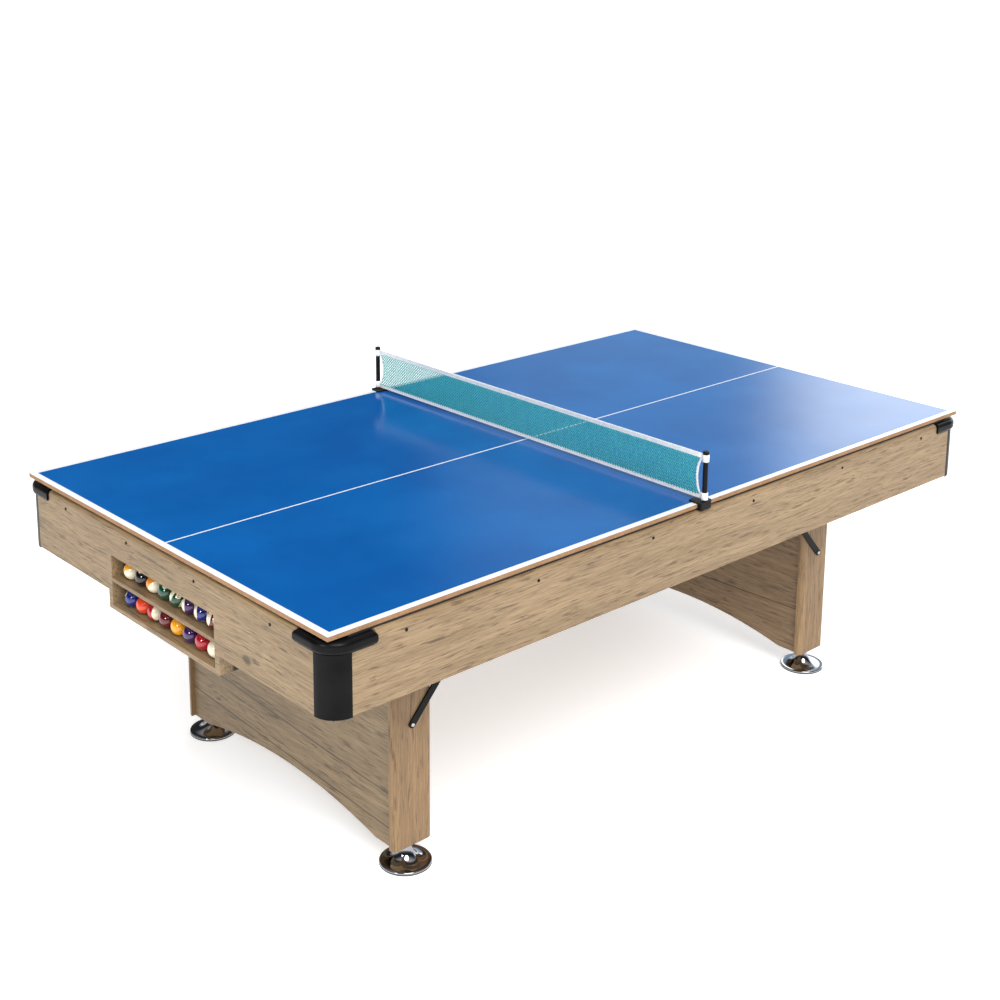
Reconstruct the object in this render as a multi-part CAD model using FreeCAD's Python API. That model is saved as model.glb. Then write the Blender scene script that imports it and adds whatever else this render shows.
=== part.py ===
"""Pool table with a ball return, box legs and a table-tennis top with a clip-on net.

Millimetres, +Z up. The origin is on the floor under the middle of the table, +X runs
along the table to the head end and +Y to the far long side. The foot end (-X) holds the
ball return. Every piece is modelled in the +X, +Y quarter and mirrored into its place.
"""
import FreeCAD, Part
import math
import os

V = FreeCAD.Vector

# --- table-tennis top ---------------------------------------------------------------
table_height = 822.0      # floor to the tennis surface
board_len = 2440.0
board_wid = 1370.0
board_thk = 12.0
board_joint = 0.6         # gap between the two half boards
pad_thk = 7.0             # rubber strips that keep the boards off the rails
pad_wid = 25.0
pad_side_inset = 3.0      # from the board's long edge to the strip
pad_end_inset = 10.0
pad_end_stop = 70.0       # strips stop this far from the middle joint

# --- cabinet ------------------------------------------------------------------------
side_margin = 10.0        # apron face beyond the board's long edge
end_margin = 3.0          # apron face beyond the board's end
apron_thk = 18.0
apron_high = 181.0
apron_round = 13.0        # round of the apron's outer top edge
corner_r = 60.0           # round corner of the cabinet
block_lift = 10.0         # from the apron's bottom edge to the wooden corner block
block_gap = 7.0           # end of a ball run to the corner block
cleat_gap = 8.0           # side of a ball run to the cleat
cleat_high = 30.0
bed_thk = 18.0
cloth_thk = 1.5
cloth_drop = 39.0         # rail top to cloth
beam_wid = 45.0
beam_high = 70.0
brace_reach = 290.0       # middle of the leg to the beam that takes the braces

# --- rails, cushions and pockets ----------------------------------------------------
rail_wid = 94.0           # apron's inner face to the rail's inner edge
cushion_wid = 45.0
cushion_lift = 8.0        # cloth to the cushion's underside
nose_lift = 29.0          # cloth to the lower edge of the cushion's nose
nose_thk = 2.5
cushion_foot = 12.0       # depth of the cushion at its underside
cushion_drop = 1.0        # rail top to the back of the cushion
jaw_corner_room = 10.5    # corner pocket's hole beyond the cushions' back corners
jaw_corner_flare = 40.0   # how much wider the mouth is at the cushions' noses
jaw_side_gap = 1.5        # side pocket's hole to the cushion
jaw_side_flare = 9.0
pocket_r = 52.0
liner_thk = 3.0
liner_gap = 0.5
liner_drop = 2.0          # rail top to the liner's rim
pocket_corner_off = 14.0  # pocket centre beyond the nose lines' crossing
pocket_side_off = 8.0     # pocket centre beyond the rail's inner edge

# --- corner caps and screws ---------------------------------------------------------
cap_proud = 7.0           # cap beyond the apron face
cap_high = 32.0           # height of the cap's head and arms
cap_thk = 28.0
cap_round = 12.0
cap_ease = 0.5            # the wood's round under a cap's arm is tighter by this
head_rounding = 0.6       # rounded share of a screw or bolt head's height
cap_reach = 127.0         # arm length from the square corner of the aprons
cap_drop = 3.0            # cap below the apron's bottom edge
screw_head_r = 4.0
screw_head_high = 1.8
screw_r = 1.8
screw_len = 32.0
screw_hole_gap = 0.1
screw_below = 25.0        # apron's top edge to the screw's centre
side_screw_inset = 150.5  # end of the apron to its first screw
side_screw_count = 6
end_screw_inset = 161.0
end_screw_count = 4

# --- ball return --------------------------------------------------------------------
ball_d = 47.6
ball_apart = 8.0          # between balls in a row
ball_gap = 0.3            # ball to its shelf
ball_count = 8            # in each row
ball_setback = 12.0       # box face to the balls
box_wall = 18.0
row_gap = 17.6            # end of a row to the box's side
box_back = 10.0
box_floor = 12.0
box_top_thk = 10.0
box_head_room = 10.0      # opening's top edge to the box's top board
window_top = 83.0         # apron's top edge to the opening's top edge
shelf_thk = 10.0
upper_room = 13.4         # upper balls to the opening's top edge
lower_room = 17.4         # lower balls to the shelf above them
drop_room = 18.4          # way down behind the balls, wider than a ball by this
shelf_tail = 37.5         # shelf behind the balls
run_wall = 3.0
run_clear = 3.0           # pocket to the run's inner faces
run_room = 12.5           # ball to the bed at the head end
run_fall = 14.0           # fall of the floor along the table
cross_fall = 6.0          # fall of the floor towards the box

# --- legs, braces and feet ----------------------------------------------------------
leg_end_inset = 408.0     # apron's end face to the middle of the leg
leg_wid = 124.0
leg_to_run = 22.0         # leg's side to the ball run's inner face
leg_lift = 61.0           # floor to the leg's bottom
post_thk = 20.0
post_round = 16.0
panel_thk = 15.0
panel_setback = 12.0      # panel behind the posts' edges
arch_half = 385.0
arch_rise = 46.0
leg_top_thk = 18.0
foot_block = 60.0
brace_wid = 19.0
brace_thk = 5.0
brace_low = 430.0         # tennis surface to the lower bolt
brace_off = 5.0           # lower bolt beyond the middle of the leg
brace_top = 25.0          # bed's underside to the upper bolt
bolt_r = 3.0
bolt_gap = 0.1
bolt_head_r = 5.0
bolt_head_high = 3.0
bolt_grip = 18.0          # bolt inside the wood
foot_inset = 32.0         # leg's side to the middle of the foot
dish_r = 67.0
dish_rim = 5.0
dish_lip_wid = 2.5        # rounded lip above the rim
dish_lip_high = 3.0
dish_waist_r = 30.8       # the flare half way up
dish_waist_z = 16.5
dish_high = 50.0
neck_high = 8.0
neck_taper = 2.0
neck_r = 13.0
socket_depth = 18.0
stud_r = 6.0
stud_gap = 0.05
stud_in_leg = 45.0
nut_flats = 18.0
nut_gap = 0.5
nut_high = 6.5

# --- net ----------------------------------------------------------------------------
net_post_r = 7.0
net_post_out = 5.0        # post's centre beyond the board's edge
net_post_foot = 4.0       # clamp plate under the post
net_post_high = 141.0     # above the tennis surface
net_post_cap_r = 8.5
net_post_cap_high = 8.0
net_post_cap_round = 2.4
net_top = 126.0           # middle of the top tape above the surface
net_low = 13.0            # middle of the bottom tape
top_tape = 13.0
low_tape = 10.0
tape_thk = 3.0
loop_high = 20.0
loop_wall = 2.0
loop_gap = 0.3
mesh_thk = 2.0
mesh_end = 35.0           # end of the mesh inboard of the post
clamp_wid = 50.0
clamp_jaw_wid = 42.0
clamp_in = 30.0           # upper jaw inboard of the board's edge
clamp_low_in = 22.0
clamp_plate = 4.0
clamp_jaw_thk = 4.0
clamp_gap = 0.4
clamp_web = 12.5
clamp_web_round = 4.0
clamp_round = 8.0

# --- derived heights and lines ------------------------------------------------------
z_board = table_height - board_thk
z_rail_top = z_board - pad_thk
z_cap = z_rail_top - cap_high
z_skirt = z_rail_top - apron_high
z_cloth = z_rail_top - cloth_drop
z_bed_top = z_cloth - cloth_thk
z_bed = z_bed_top - bed_thk
apron_x = board_len / 2 + end_margin
apron_y = board_wid / 2 + side_margin
inner_x = apron_x - apron_thk
inner_y = apron_y - apron_thk
rail_in_x = inner_x - rail_wid
rail_in_y = inner_y - rail_wid
nose_x = rail_in_x - cushion_wid
nose_y = rail_in_y - cushion_wid
inner_corner_r = corner_r - apron_thk
cap_out_r = corner_r + cap_proud
cap_in_r = cap_out_r - cap_thk
centre_x = apron_x - corner_r
centre_y = apron_y - corner_r
corner_pocket = (nose_x + pocket_corner_off, nose_y + pocket_corner_off)
side_pocket = (0.0, rail_in_y + pocket_side_off)
pocket_hole_r = pocket_r + liner_thk + liner_gap
jaw_corner_back = pocket_hole_r - jaw_corner_room
jaw_corner_nose = jaw_corner_back + jaw_corner_flare
jaw_side_back = pocket_hole_r + jaw_side_gap
jaw_side_nose = jaw_side_back + jaw_side_flare
z_window = z_rail_top - window_top
z_up_shelf = z_window - upper_room - ball_d
z_low_shelf = z_up_shelf - shelf_thk - lower_room - ball_d
z_box = z_low_shelf - box_floor
z_box_lid = z_window + box_head_room
ball_pitch = ball_d + ball_apart
box_in = ball_count * ball_pitch / 2 + row_gap
box_half = box_in + box_wall
ball_x = -apron_x + ball_setback + ball_d / 2
shelf_back = -apron_x + ball_setback + ball_d + shelf_tail
slot_back = shelf_back + ball_d + drop_room
box_end = slot_back + box_back
run_in = corner_pocket[1] - pocket_r - run_clear
run_out = side_pocket[1] + pocket_r + run_clear
run_end = corner_pocket[0] + pocket_r + run_clear
run_head_z = z_bed - ball_d - run_room
run_foot_z = run_head_z - run_fall
cross_z = run_foot_z - cross_fall
block_size = inner_x - run_end - run_wall - block_gap
cleat_wid = inner_y - run_out - run_wall - cleat_gap
leg_x = apron_x - leg_end_inset
leg_half = run_in - leg_to_run
beam_x = leg_x - brace_reach
leg_in = leg_half - post_thk
panel_out = leg_wid / 2 - panel_setback
cavity = panel_out - panel_thk
foot_y = leg_half - foot_inset
z_nut = dish_high + nut_gap
z_brace = table_height - brace_low
brace_low_x = leg_x + brace_off
net_y = board_wid / 2 + net_post_out
z_post = table_height + net_post_foot

ENDS = {"foot": -1, "head": 1}
SIDES = {"near": -1, "far": 1}


# --- small tools --------------------------------------------------------------------
def box(x0, x1, y0, y1, z0, z1):
    return Part.makeBox(x1 - x0, y1 - y0, z1 - z0, V(x0, y0, z0))


def cylinder(radius, x, y, z0, z1):
    return Part.makeCylinder(radius, z1 - z0, V(x, y, z0))


def rod(radius, start, direction, length):
    return Part.makeCylinder(radius, length, V(*start), V(*direction))


def face(points):
    corners = [V(*p) for p in points]
    return Part.Face(Part.makePolygon(corners + corners[:1]))


def plate(points, z0, z1):
    """Flat plate from an outline in plan."""
    return face([(x, y, z0) for x, y in points]).extrude(V(0, 0, z1 - z0))


def place(shape, x_sign, y_sign):
    if x_sign < 0:
        shape = shape.mirror(V(0, 0, 0), V(1, 0, 0))
    if y_sign < 0:
        shape = shape.mirror(V(0, 0, 0), V(0, 1, 0))
    return shape


def four(shape):
    return [place(shape, sx, sy) for sx in (-1, 1) for sy in (-1, 1)]


def rounded(shape, radius, chosen):
    """Fillet the edges for which chosen(bound box) holds."""
    edges = [e for e in shape.Edges if chosen(e.BoundBox)]
    return shape.makeFillet(radius, edges)


def near_to(a, b):
    return abs(a - b) < 0.01


def joined(shapes):
    return shapes[0].fuse(shapes[1:]).removeSplitter()


def save(name, shape):
    solids = shape if isinstance(shape, list) else [shape]
    flat = [s for item in solids for s in item.Solids]
    out = flat[0] if len(flat) == 1 else Part.makeCompound(flat)
    out.exportStep(os.path.join("parts", name + ".step"))


# --- cabinet ------------------------------------------------------------------------
def row(count, pitch):
    return [(i - (count - 1) / 2) * pitch for i in range(count)]


def screw_row(half, inset, count):
    """Even row along an apron of this half length."""
    return row(count, 2 * (half - inset) / (count - 1))


def screw_places():
    """Start point and inward direction of every apron screw."""
    z = z_rail_top - screw_below
    long_side = [((x, s * apron_y, z), (0, -s, 0)) for s in (-1, 1)
                 for x in screw_row(centre_x, side_screw_inset, side_screw_count)]
    short_side = [((s * apron_x, y, z), (-s, 0, 0)) for s in (-1, 1)
                  for y in screw_row(centre_y, end_screw_inset, end_screw_count)]
    return long_side + short_side


def screw_holes():
    radius = screw_r + screw_hole_gap
    return [rod(radius, start, way, screw_len) for start, way in screw_places()]


def screw(start, inward):
    outward = V(*inward) * -1
    top = V(*start) + outward * screw_head_high
    head = Part.makeCylinder(screw_head_r, screw_head_high, V(*start), outward)
    head = rounded(head, screw_head_high * head_rounding, lambda b: b.Center.sub(top).Length < 0.1)
    return head.fuse(rod(screw_r, start, inward, screw_len))


def apron_long():
    board = box(-centre_x, centre_x, inner_y, apron_y, z_skirt, z_rail_top)
    return rounded(board, apron_round, lambda b: near_to(b.YMin, apron_y)
                   and near_to(b.ZMin, z_rail_top)).cut(four(cap_room()))


def apron_end():
    board = box(inner_x, apron_x, -centre_y, centre_y, z_skirt, z_rail_top)
    return rounded(board, apron_round, lambda b: near_to(b.XMin, apron_x)
                   and near_to(b.ZMin, z_rail_top)).cut(four(cap_room()))


def ball_window():
    return box(-apron_x - 1, -inner_x + 1, -box_half, box_half, z_skirt - 1, z_window)


def inside_plan(z0, z1):
    """Room inside the aprons, with the corners' round."""
    room = box(-inner_x, inner_x, -inner_y, inner_y, z0, z1)
    return rounded(room, inner_corner_r, lambda b: near_to(b.ZLength, z1 - z0))


def corner_block():
    low = z_skirt + block_lift
    block = box(inner_x - block_size, inner_x, inner_y - block_size, inner_y, low, z_bed)
    return rounded(block, inner_corner_r,
                   lambda b: near_to(b.XMin, inner_x) and near_to(b.YMin, inner_y))


def cleats():
    """Wooden strips glued inside the aprons under the bed."""
    low = z_bed - cleat_high
    reach_x = inner_x - block_size
    reach_y = inner_y - block_size
    side = box(-reach_x, reach_x, inner_y - cleat_wid, inner_y, low, z_bed)
    short = box(inner_x - cleat_wid, inner_x, box_half, reach_y, low, z_bed)
    return [side, place(side, 1, -1)] + four(short)


def pocket_holes(z0, z1):
    """The six pocket holes through the bed and the rails."""
    corner = cylinder(pocket_hole_r, corner_pocket[0], corner_pocket[1], z0, z1)
    side = cylinder(pocket_hole_r, side_pocket[0], side_pocket[1], z0, z1)
    return four(corner) + [side, place(side, 1, -1)]


def bed(z0, z1):
    return inside_plan(z0, z1).cut(pocket_holes(z0 - 1, z1 + 1))


def beam_bolt_holes(x_sign):
    radius = bolt_r + bolt_gap
    z = z_bed - brace_top
    return [rod(radius, (x_sign * beam_x, s * leg_half, z), (0, -s, 0), bolt_grip)
            for s in (-1, 1)]


def beam(x_sign):
    middle = x_sign * beam_x
    body = box(middle - beam_wid / 2, middle + beam_wid / 2, -leg_half, leg_half,
               z_bed - beam_high, z_bed)
    return body.cut(beam_bolt_holes(x_sign)) if x_sign else body


# --- corner caps --------------------------------------------------------------------
def cap_section(at):
    """Section of the cap's head; at(u, z) puts it in space."""
    low = z_cap
    top = z_rail_top
    flat = cap_thk - cap_round
    bend = cap_round * math.sin(math.radians(45))
    under = Part.Arc(at(flat, low), at(flat + bend, low + cap_round - bend),
                     at(cap_thk, low + cap_round))
    over = Part.Arc(at(cap_thk, top - cap_round), at(flat + bend, top - cap_round + bend),
                    at(flat, top))
    lines = [Part.LineSegment(at(0, low), at(flat, low)), under,
             Part.LineSegment(at(cap_thk, low + cap_round), at(cap_thk, top - cap_round)), over,
             Part.LineSegment(at(flat, top), at(0, top)),
             Part.LineSegment(at(0, top), at(0, low))]
    return Part.Face(Part.Wire([line.toShape() for line in lines]))


def cap_arm_x():
    end = apron_x - cap_reach
    bar = cap_section(lambda u, z: V(centre_x, centre_y + cap_in_r + u, z))
    bar = bar.extrude(V(end - centre_x, 0, 0))
    frame = box(end, centre_x + 1, centre_y, apron_y + cap_thk, z_cap, z_rail_top)
    frame = rounded(frame, cap_round, lambda b: near_to(b.XMax, end) and b.YLength > 1)
    return bar.common(frame)


def cap_arm_y():
    end = apron_y - cap_reach
    bar = cap_section(lambda u, z: V(centre_x + cap_in_r + u, centre_y, z))
    bar = bar.extrude(V(0, end - centre_y, 0))
    frame = box(centre_x, apron_x + cap_thk, end, centre_y + 1, z_cap, z_rail_top)
    frame = rounded(frame, cap_round, lambda b: near_to(b.YMax, end) and b.XLength > 1)
    return bar.common(frame)


def cap_bend():
    section = cap_section(lambda u, z: V(centre_x + cap_in_r + u, centre_y, z))
    return section.revolve(V(centre_x, centre_y, 0), V(0, 0, 1), 90)


def cap_column():
    low = z_skirt - cap_drop
    tube = cylinder(corner_r, centre_x, centre_y, low, z_cap)
    tube = tube.cut(cylinder(inner_corner_r, centre_x, centre_y, low - 1, z_cap + 1))
    quarter = box(centre_x, apron_x + 1, centre_y, apron_y + 1, low, z_cap)
    return tube.common(quarter)


def corner_cap():
    return joined([cap_bend(), cap_arm_x(), cap_arm_y(), cap_column()])


def cap_room():
    """What the aprons and the rails leave free for a cap."""
    z1 = z_rail_top + 1
    far_x = apron_x + cap_thk
    far_y = apron_y + cap_thk
    end_x = apron_x - cap_reach
    end_y = apron_y - cap_reach
    round_r = cap_round - cap_ease
    arm_x = box(end_x, centre_x, centre_y + cap_in_r, far_y, z_cap, z1)
    arm_x = rounded(arm_x, round_r, lambda b: near_to(b.XMax, end_x) and near_to(b.ZMax, z_cap))
    arm_y = box(centre_x + cap_in_r, far_x, end_y, centre_y, z_cap, z1)
    arm_y = rounded(arm_y, round_r, lambda b: near_to(b.YMax, end_y) and near_to(b.ZMax, z_cap))
    bend = box(centre_x, far_x, centre_y, far_y, z_cap, z1)
    bend = bend.cut(cylinder(cap_in_r, centre_x, centre_y, z_cap, z1))
    return joined([arm_x, arm_y, bend])


# --- rails and cushions -------------------------------------------------------------
def rail(x0, x1, y0, y1):
    """A rail that stands on the cloth inside the aprons."""
    board = box(x0, x1, y0, y1, z_cloth, z_rail_top).common(inside_plan(z_cloth, z_rail_top))
    board = board.cut(four(cap_room()) + screw_holes())
    return board.cut(pocket_holes(z_cloth - 1, z_rail_top + 1))


def rail_long():
    return rail(-inner_x, inner_x, rail_in_y, inner_y)


def rail_end():
    return rail(rail_in_x, inner_x, -rail_in_y, rail_in_y)


def cushion_profile():
    """Depth from the rail and height of each corner of the cushion's section."""
    return [(0, z_cloth + cushion_lift), (0, z_rail_top - cushion_drop),
            (cushion_wid, z_cloth + nose_lift + nose_thk), (cushion_wid, z_cloth + nose_lift),
            (cushion_foot, z_cloth + cushion_lift)]


def cushion_long():
    section = face([(0, rail_in_y - d, z) for d, z in cushion_profile()])
    bar = section.extrude(V(nose_x, 0, 0))
    outline = [(jaw_side_back, rail_in_y), (nose_x - jaw_corner_back, rail_in_y),
               (nose_x - jaw_corner_nose, nose_y), (jaw_side_nose, nose_y)]
    return bar.common(plate(outline, z_cloth, z_rail_top))


def cushion_end():
    section = face([(rail_in_x - d, -nose_y, z) for d, z in cushion_profile()])
    bar = section.extrude(V(0, 2 * nose_y, 0))
    back = nose_y - jaw_corner_back
    nose = nose_y - jaw_corner_nose
    outline = [(rail_in_x, -back), (rail_in_x, back), (nose_x, nose), (nose_x, -nose)]
    return bar.common(plate(outline, z_cloth, z_rail_top))


def liner(centre, rail_zones):
    """Pocket sleeve through the bed, carried up where it stands against the rails."""
    top = z_rail_top - liner_drop
    tube = cylinder(pocket_r + liner_thk, centre[0], centre[1], z_bed, top)
    tube = tube.cut(cylinder(pocket_r, centre[0], centre[1], z_bed - 1, top + 1))
    low = tube.common(box(-inner_x, inner_x, 0, inner_y, z_bed, z_cloth))
    return joined([low] + [tube.common(zone) for zone in rail_zones])


def corner_liner():
    zones = [box(rail_in_x, inner_x, 0, inner_y, z_cloth, z_rail_top),
             box(0, inner_x, rail_in_y, inner_y, z_cloth, z_rail_top)]
    return liner(corner_pocket, zones)


def side_liner():
    return liner(side_pocket, [box(-inner_x, inner_x, rail_in_y, inner_y, z_cloth, z_rail_top)])


# --- ball return --------------------------------------------------------------------
def run_floor(x):
    """Height of the long run's floor, which falls towards the foot end."""
    return run_foot_z + run_fall * (x + run_end) / (2 * run_end)


def run_strip(x0, x1, y0, y1):
    """Upright strip that stands on the long run's floor and reaches the bed."""
    outline = [(x0, y0, run_floor(x0)), (x1, y0, run_floor(x1)), (x1, y0, z_bed), (x0, y0, z_bed)]
    return face(outline).extrude(V(0, y1 - y0, 0))


def long_run():
    """Trough under the pockets of one long side, open where the cross run leaves it."""
    end = run_end + run_wall
    floor = face([(-end, run_in - run_wall, run_floor(-end) - run_wall),
                  (end, run_in - run_wall, run_floor(end) - run_wall),
                  (end, run_in - run_wall, run_floor(end)),
                  (-end, run_in - run_wall, run_floor(-end))])
    return [floor.extrude(V(0, run_out - run_in + 2 * run_wall, 0)),
            run_strip(-end, end, run_out, run_out + run_wall),
            run_strip(-end, shelf_back, run_in - run_wall, run_in),
            run_strip(slot_back, end, run_in - run_wall, run_in),
            run_strip(-end, -run_end, run_in, run_out),
            run_strip(run_end, end, run_in, run_out)]


def cross_run():
    """Short trough from the long run into the side of the ball box."""
    y_end = run_in - run_wall

    def strip(x0, x1, low, high):
        outline = [(x0, box_half, cross_z + low), (x0, y_end, run_foot_z + low),
                   (x0, y_end, high or run_foot_z), (x0, box_half, high or cross_z)]
        return face(outline).extrude(V(x1 - x0, 0, 0))
    return [strip(shelf_back - run_wall, slot_back + run_wall, -run_wall, None),
            strip(shelf_back - run_wall, shelf_back, 0, z_bed),
            strip(slot_back, slot_back + run_wall, 0, z_bed)]


def ball_box():
    shell = box(-apron_x, box_end, -box_half, box_half, z_box, z_bed)
    cells = box(-apron_x - 1, slot_back, -box_in, box_in, z_low_shelf, z_box_lid)
    over_lid = box(-inner_x - 1, box_end + 1, -box_in, box_in, z_box_lid + box_top_thk, z_bed + 1)
    behind_apron = box(-apron_x - 1, -inner_x, -box_half - 1, box_half + 1, z_window, z_bed + 1)
    inlet = box(shelf_back, slot_back, -box_half - 1, box_half + 1, cross_z, z_box_lid)
    return shell.cut([cells, over_lid, behind_apron, inlet])


def ball_shelf():
    return box(-apron_x, shelf_back, -box_in, box_in, z_up_shelf - shelf_thk, z_up_shelf)


def ball_row(shelf_z):
    z = shelf_z + ball_gap + ball_d / 2
    return [Part.makeSphere(ball_d / 2, V(ball_x, y, z)) for y in row(ball_count, ball_pitch)]


# --- legs, braces and feet ----------------------------------------------------------
def leg_post():
    post = box(leg_x - leg_wid / 2, leg_x + leg_wid / 2, leg_in, leg_half, leg_lift, z_bed)
    post = rounded(post, post_round,
                   lambda b: near_to(b.YMin, leg_half) and near_to(b.ZLength, z_bed - leg_lift))
    hole = rod(bolt_r + bolt_gap, (brace_low_x, leg_half, z_brace), (0, -1, 0), bolt_grip)
    return post.cut(hole)


def leg_panel(x0):
    """Arched panel between two posts, with its lower face at x0."""
    panel = box(x0, x0 + panel_thk, -leg_in, leg_in, leg_lift, z_bed)
    radius = (arch_half ** 2 + arch_rise ** 2) / (2 * arch_rise)
    middle = V(x0 - 1, 0, leg_lift + arch_rise - radius)
    return panel.cut(Part.makeCylinder(radius, panel_thk + 2, middle, V(1, 0, 0)))


def foot_blocks():
    block = box(leg_x - cavity, leg_x + cavity, leg_in - foot_block, leg_in,
                leg_lift, leg_lift + foot_block)
    hole = cylinder(stud_r + stud_gap, leg_x, foot_y, leg_lift - 1, leg_lift + foot_block + 1)
    return four(block.cut(hole))


def leg_top():
    return box(leg_x - cavity, leg_x + cavity, -leg_in, leg_in, z_bed - leg_top_thk, z_bed)


def brace():
    low = V(brace_low_x, leg_half, z_brace)
    high = V(beam_x, leg_half, z_bed - brace_top)
    along = high.sub(low)
    side = V(along.z, 0, -along.x).normalize() * (brace_wid / 2)
    bar = face([low.add(side), high.add(side), high.sub(side), low.sub(side)])
    bar = bar.extrude(V(0, brace_thk, 0))
    ends = [Part.makeCylinder(brace_wid / 2, brace_thk, p, V(0, 1, 0)) for p in (low, high)]
    holes = [Part.makeCylinder(bolt_r + bolt_gap, brace_thk, p, V(0, 1, 0)) for p in (low, high)]
    return joined([bar] + ends).cut(holes)


def brace_bolt(x, z):
    face_y = leg_half + brace_thk
    head = Part.makeCylinder(bolt_head_r, bolt_head_high, V(x, face_y, z), V(0, 1, 0))
    head = rounded(head, bolt_head_high * head_rounding,
                   lambda b: near_to(b.YMin, face_y + bolt_head_high))
    shank = rod(bolt_r, (x, face_y, z), (0, -1, 0), brace_thk + bolt_grip)
    return head.fuse(shank)


def foot_dish():
    """Flared levelling foot with a socket for its stud."""
    def at(radius, z):
        return V(leg_x + radius, foot_y, z)
    rim_in = dish_r - dish_lip_wid
    flare_z = dish_rim + dish_lip_high
    neck_low_r = neck_r + neck_taper
    neck_z = dish_high - neck_high
    bore_r = stud_r + stud_gap
    floor = dish_high - socket_depth
    lip_mid = at(dish_r - dish_lip_wid / 3, dish_rim + dish_lip_high * 0.7)
    lip = Part.Arc(at(dish_r, dish_rim), lip_mid, at(rim_in, flare_z))
    flare = Part.Arc(at(rim_in, flare_z), at(dish_waist_r, dish_waist_z), at(neck_low_r, neck_z))
    lines = [Part.LineSegment(at(0, 0), at(dish_r, 0)),
             Part.LineSegment(at(dish_r, 0), at(dish_r, dish_rim)), lip, flare,
             Part.LineSegment(at(neck_low_r, neck_z), at(neck_r, dish_high)),
             Part.LineSegment(at(neck_r, dish_high), at(bore_r, dish_high)),
             Part.LineSegment(at(bore_r, dish_high), at(bore_r, floor)),
             Part.LineSegment(at(bore_r, floor), at(0, floor)),
             Part.LineSegment(at(0, floor), at(0, 0))]
    section = Part.Face(Part.Wire([line.toShape() for line in lines]))
    return section.revolve(V(leg_x, foot_y, 0), V(0, 0, 1), 360)


def foot_stud():
    """Threaded stud with the nut that a spanner turns."""
    bottom = dish_high - socket_depth + nut_gap
    stud = cylinder(stud_r, leg_x, foot_y, bottom, leg_lift + stud_in_leg)
    corner = nut_flats / math.sqrt(3)
    hexagon = [(leg_x + corner * math.cos(math.radians(60 * i)),
                foot_y + corner * math.sin(math.radians(60 * i))) for i in range(6)]
    return stud.fuse(plate(hexagon, z_nut, z_nut + nut_high)).removeSplitter()


# --- table-tennis top and net -------------------------------------------------------
def half_board():
    return box(board_joint / 2, board_len / 2, -board_wid / 2, board_wid / 2, z_board, table_height)


def board_pads():
    """Rubber strips under one half board: two along the sides and one across its end."""
    y1 = board_wid / 2 - pad_side_inset
    x1 = board_len / 2 - pad_end_inset
    side = box(pad_end_stop, centre_x, y1 - pad_wid, y1, z_rail_top, z_board)
    end = box(x1 - pad_wid, x1, -centre_y, centre_y, z_rail_top, z_board)
    return [side, place(side, 1, -1), end]


def net_clamp():
    """Clip round the board's edge that carries a net post."""
    edge = board_wid / 2
    web_in = edge + clamp_gap
    web_out = edge + clamp_gap + clamp_web
    top = table_height + clamp_gap
    upper = box(-clamp_wid / 2, clamp_wid / 2, edge - clamp_in, web_out, top, top + clamp_plate)
    upper = rounded(upper, clamp_round, lambda b: near_to(b.ZLength, clamp_plate))
    jaw_top = z_board - clamp_gap
    web = box(-clamp_jaw_wid / 2, clamp_jaw_wid / 2, web_in, web_out, jaw_top - clamp_jaw_thk, top)
    web = rounded(web, clamp_web_round, lambda b: near_to(b.YMin, web_out) and b.ZLength > 1)
    lower = box(-clamp_jaw_wid / 2, clamp_jaw_wid / 2, edge - clamp_low_in, web_out - clamp_web / 2,
                jaw_top - clamp_jaw_thk, jaw_top)
    return joined([upper, web, lower])


def net_post():
    low = table_height + clamp_gap + clamp_plate
    top = table_height + net_post_high
    shaft = cylinder(net_post_r, 0, net_y, low, top)
    cap = cylinder(net_post_cap_r, 0, net_y, top - net_post_cap_high, top)
    cap = rounded(cap, net_post_cap_round, lambda b: near_to(b.ZMin, top))
    return joined([shaft, cap])


def net_tape(middle_z, width):
    """One tape of the net with a loop round each post."""
    loop_r = net_post_r + loop_gap + loop_wall
    z0 = table_height + middle_z - width / 2
    band = box(-tape_thk / 2, tape_thk / 2, -net_y, net_y, z0, z0 + width)
    shape = [band]
    holes = []
    loop_z = z0 + width - loop_high if middle_z == net_top else z0
    for s in (-1, 1):
        shape.append(cylinder(loop_r, 0, s * net_y, loop_z, loop_z + loop_high))
        holes.append(cylinder(net_post_r + loop_gap, 0, s * net_y, loop_z - 1, loop_z + loop_high + 1))
    return joined(shape).cut(holes)


def net_mesh():
    z0 = table_height + net_low + low_tape / 2
    z1 = table_height + net_top - top_tape / 2
    end = net_y - mesh_end
    return box(-mesh_thk / 2, mesh_thk / 2, -end, end, z0, z1)


# --- the whole table ----------------------------------------------------------------
def build_cabinet():
    holes = screw_holes()
    for side, s in SIDES.items():
        save("apron_" + side, place(apron_long(), 1, s).cut(holes))
        save("rail_" + side, place(rail_long(), 1, s))
        save("ball_run_" + side, [place(strip, 1, s) for strip in long_run() + cross_run()])
        save("pocket_liner_side_" + side, place(side_liner(), 1, s))
    for end, s in ENDS.items():
        apron = place(apron_end(), s, 1).cut(holes)
        save("apron_" + end, apron.cut(ball_window()) if end == "foot" else apron)
        save("rail_" + end, place(rail_end(), s, 1))
        save("cushion_" + end, place(cushion_end(), s, 1))
        for side, t in SIDES.items():
            save("corner_cap_%s_%s" % (end, side), place(corner_cap(), s, t))
            save("pocket_liner_%s_%s" % (end, side), place(corner_liner(), s, t))
    save("cushions_long", four(cushion_long()))
    save("apron_screws", [screw(start, way) for start, way in screw_places()])
    save("frame_cleats", four(corner_block()) + cleats())
    save("bed_board", bed(z_bed, z_bed_top))
    save("bed_cloth", bed(z_bed_top, z_cloth))
    save("bed_beams", [beam(-1), beam(0), beam(1)])


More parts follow.
